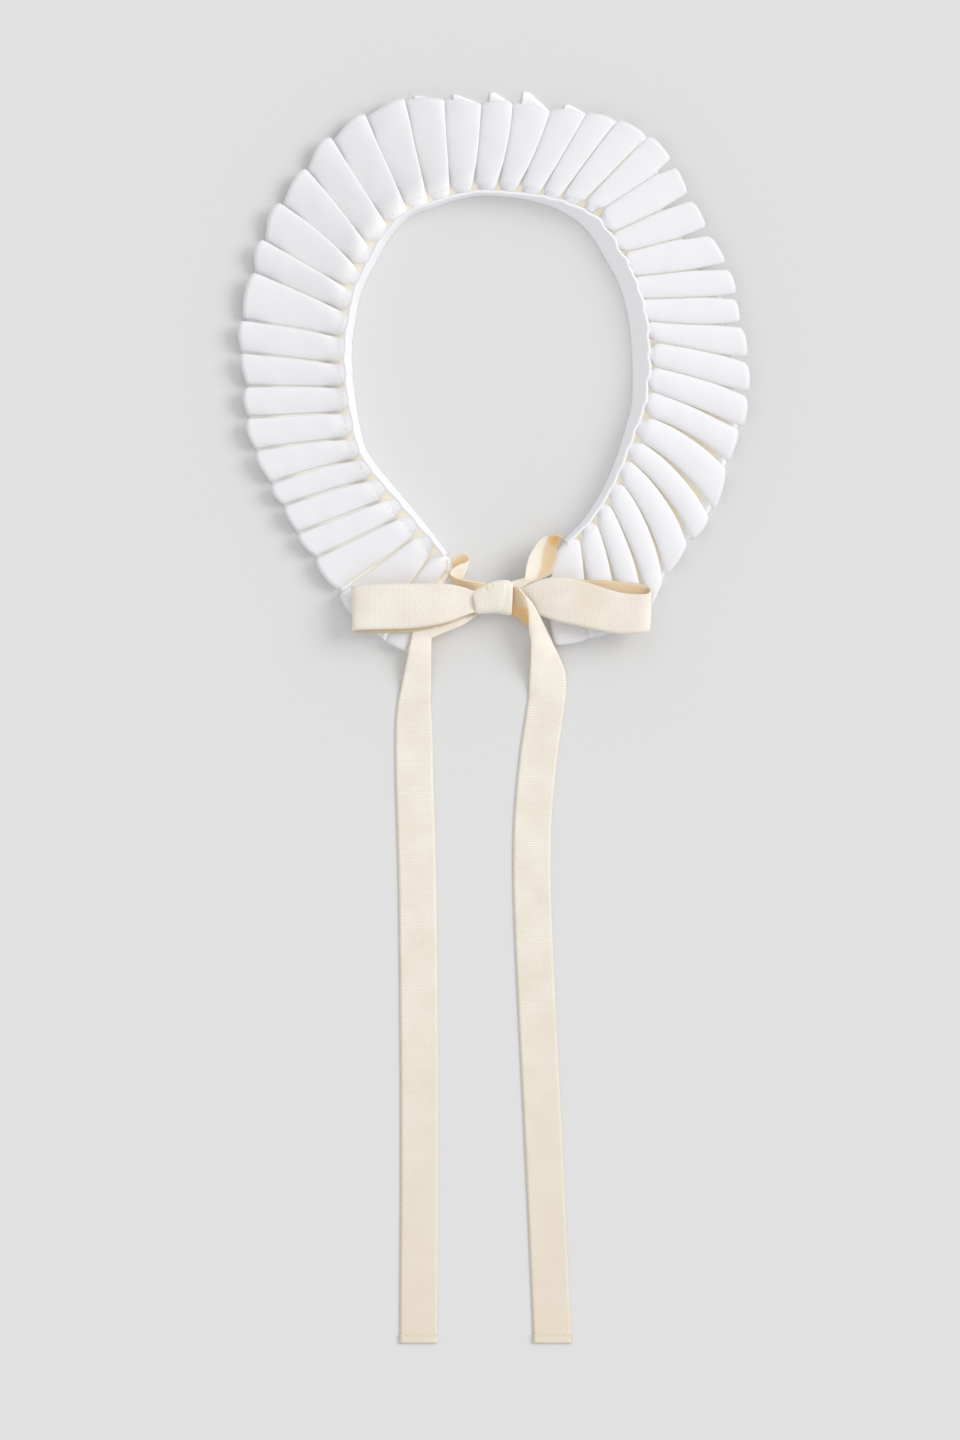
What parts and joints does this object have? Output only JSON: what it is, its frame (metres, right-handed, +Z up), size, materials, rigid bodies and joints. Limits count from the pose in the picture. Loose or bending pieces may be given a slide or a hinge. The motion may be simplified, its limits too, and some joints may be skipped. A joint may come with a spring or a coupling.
{
  "type": "detachable collar",
  "caption": "Detachable pleated ruff collar in white cotton on a narrow neckband, tied in front with cream tape in a bow with long tails, lying flat.",
  "frame": {"origin": "centre of the flat-laid collar's bounding box, on the surface it lies on", "axes": "+X to the right as seen from above with the tails toward the viewer, +Y from the tails toward the centre back, +Z up off the surface"},
  "size_m": [0.2664, 0.6508, 0.0159],
  "materials": {
    "ruffle_cloth": "crisp matt white cotton poplin, plain weave",
    "band_cloth": "matt white cotton poplin, folded and pressed",
    "tape": "matt natural cream cotton twill tape"
  },
  "bodies": {
    "root": {"ruffle_left": "ruffle_cloth", "ruffle_right": "ruffle_cloth", "neckband": "band_cloth", "left_bow_loop": "tape", "right_bow_loop": "tape", "left_tail": "tape", "right_tail": "tape", "left_lead": "tape", "right_lead": "tape", "knot": "tape"}
  },
  "joints": []
}
